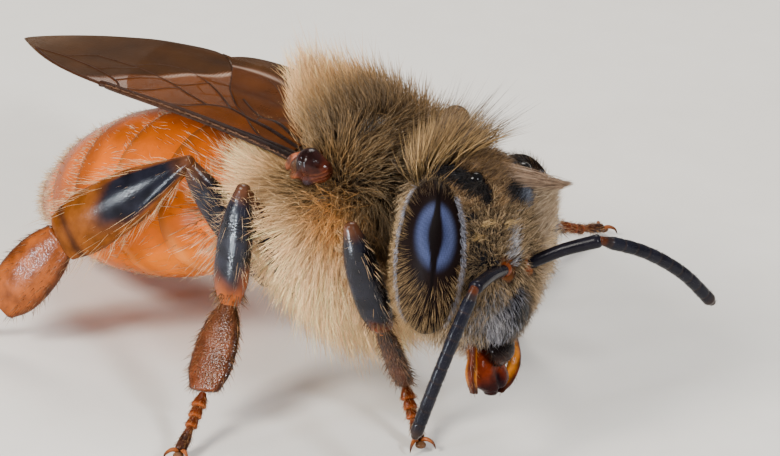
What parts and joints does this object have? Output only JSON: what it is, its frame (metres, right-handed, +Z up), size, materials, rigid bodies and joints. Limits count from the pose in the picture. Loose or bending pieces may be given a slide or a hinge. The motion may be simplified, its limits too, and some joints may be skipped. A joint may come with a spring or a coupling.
{
  "type": "honey bee",
  "caption": "Life-size still model of a worker honey bee standing on six legs, with hairy thorax, shield-shaped head, elbowed antennae, folded smoky wings and a banded orange abdomen",
  "frame": {"origin": "on the floor, at the bottom centre of the bounding box, under the rear half of the thorax", "axes": "+X the way the head points, +Y the bee's left, +Z up; the feet stand on z = 0"},
  "size_m": [0.0146, 0.0128, 0.0058],
  "materials": {
    "coat": "dense soft hair",
    "black_shell": "polished, with fine hair",
    "eye": "faceted, hairy",
    "amber_shell": "polished",
    "red_brown_shell": "polished",
    "orange_shell": "satin, banded",
    "wing_membrane": "smoky, veined",
    "brown_shell": "bristled",
    "tan_shell": "satin"
  },
  "bodies": {
    "root": {"abdomen_1": "orange_shell", "abdomen_2": "orange_shell", "abdomen_3": "orange_shell", "abdomen_4": "orange_shell", "abdomen_5": "orange_shell", "abdomen_6": "orange_shell", "antenna_flagellum_left": "black_shell", "antenna_flagellum_right": "black_shell", "antenna_scape_left": "black_shell", "antenna_scape_right": "black_shell", "eye_left": "eye", "eye_right": "eye", "foreleg_left_basitarsus": "brown_shell", "foreleg_left_coxa": "black_shell", "foreleg_left_femur": "black_shell", "foreleg_left_foot": "tan_shell", "foreleg_left_tibia": "black_shell", "foreleg_right_basitarsus": "brown_shell", "foreleg_right_coxa": "black_shell", "foreleg_right_femur": "black_shell", "foreleg_right_foot": "tan_shell", "foreleg_right_tibia": "black_shell", "forewing_left": "wing_membrane", "forewing_right": "wing_membrane", "head": "black_shell", "hindleg_left_basitarsus": "brown_shell", "hindleg_left_coxa": "black_shell", "hindleg_left_femur": "black_shell", "hindleg_left_foot": "tan_shell", "hindleg_left_tibia": "black_shell", "hindleg_right_basitarsus": "brown_shell", "hindleg_right_coxa": "black_shell", "hindleg_right_femur": "black_shell", "hindleg_right_foot": "tan_shell", "hindleg_right_tibia": "black_shell", "hindwing_left": "wing_membrane", "hindwing_right": "wing_membrane", "labrum": "red_brown_shell", "mandible_left": "amber_shell", "mandible_right": "amber_shell", "midleg_left_basitarsus": "brown_shell", "midleg_left_coxa": "black_shell", "midleg_left_femur": "black_shell", "midleg_left_foot": "tan_shell", "midleg_left_tibia": "black_shell", "midleg_right_basitarsus": "brown_shell", "midleg_right_coxa": "black_shell", "midleg_right_femur": "black_shell", "midleg_right_foot": "tan_shell", "midleg_right_tibia": "black_shell", "proboscis": "red_brown_shell", "tegula_left": "red_brown_shell", "tegula_right": "red_brown_shell", "thorax": "coat"}
  },
  "joints": []
}
